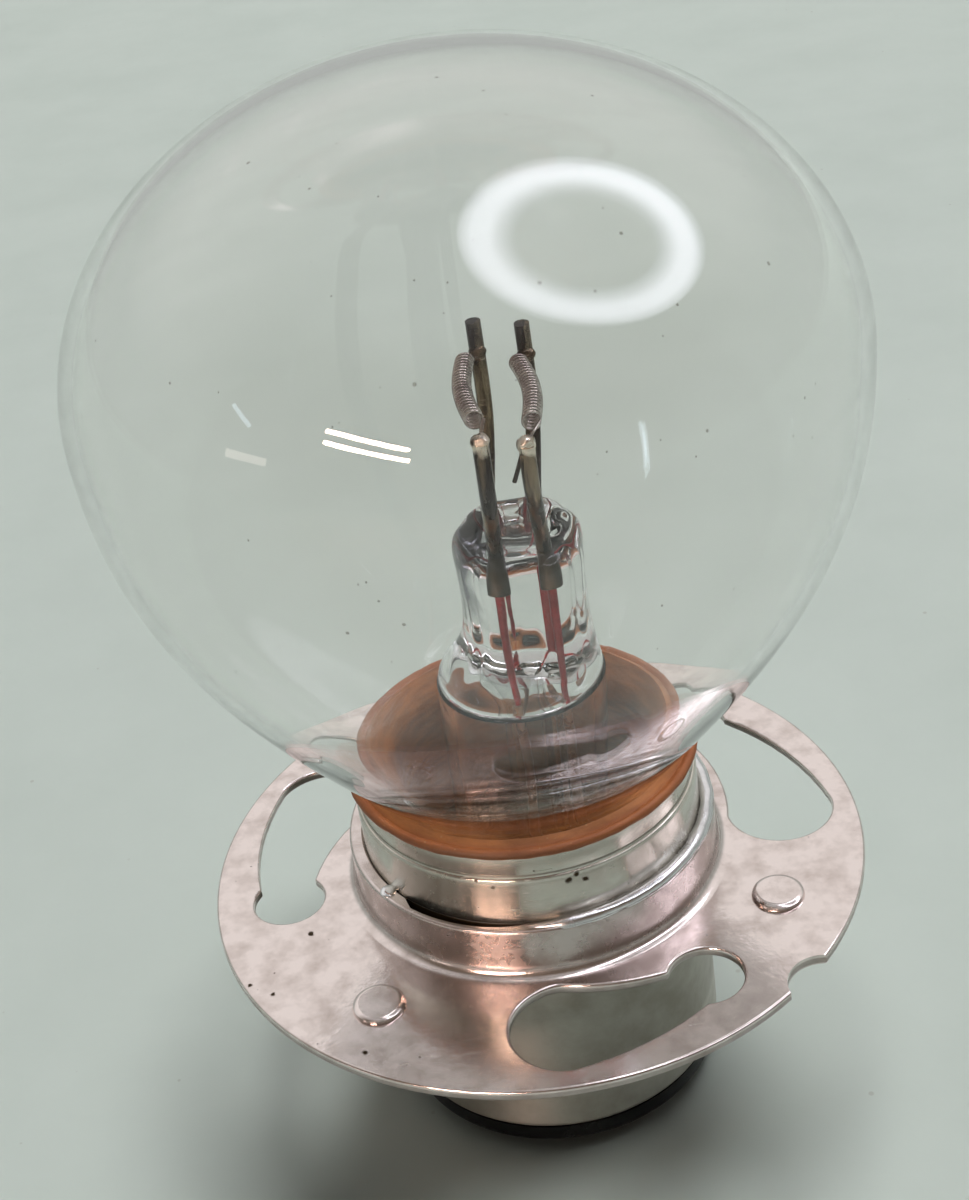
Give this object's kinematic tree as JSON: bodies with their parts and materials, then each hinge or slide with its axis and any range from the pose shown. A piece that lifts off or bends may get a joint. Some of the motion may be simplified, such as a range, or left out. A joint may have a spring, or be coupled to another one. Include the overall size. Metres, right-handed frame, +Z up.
{
  "type": "headlight bulb",
  "caption": "Twin-filament prefocus headlight bulb: pear-shaped clear glass on a cemented metal cap with a slotted locating flange and solder contacts underneath.",
  "frame": {"origin": "on the lamp axis, on the surface that the two contact tips stand on", "axes": "+Z up the lamp axis to the top of the glass; +X towards the dip filament's side; -Y is the front in the picture"},
  "size_m": [0.0384, 0.0384, 0.0593],
  "materials": {
    "clear_glass": "clear, blown",
    "stem_glass": "clear, pressed",
    "plated_flange": "nickel plated, worn satin",
    "plated_shell": "nickel plated, bright",
    "cement": "baked resin cement, brown",
    "black_glass": "opaque black, glossy",
    "brass": "plain",
    "solder": "soft solder, dull bright",
    "nickel": "drawn wire, heat stained",
    "tungsten": "dark drawn wire",
    "seal_wire": "copper-clad, oxidised red",
    "copper": "bare copper"
  },
  "bodies": {
    "root": {"glass_envelope": "clear_glass", "stem_flare": "stem_glass", "stem_press": "stem_glass", "exhaust_tube": "stem_glass", "main_front_post": "nickel", "main_back_post": "nickel", "dip_front_post": "nickel", "dip_back_post": "nickel", "main_filament": "tungsten", "dip_filament": "tungsten", "main_front_seal_wire": "seal_wire", "main_back_seal_wire": "seal_wire", "dip_front_seal_wire": "seal_wire", "dip_back_seal_wire": "seal_wire", "main_contact_lead": "copper", "dip_contact_lead": "copper", "main_ground_lead": "copper", "dip_ground_lead": "copper", "basing_cement": "cement", "cap_shell": "plated_shell", "prefocus_flange": "plated_flange", "flange_solder": "solder", "solder_spot": "solder", "insulator": "black_glass", "left_contact_plate": "brass", "right_contact_plate": "brass", "left_contact_tip": "solder", "right_contact_tip": "solder"}
  },
  "joints": []
}
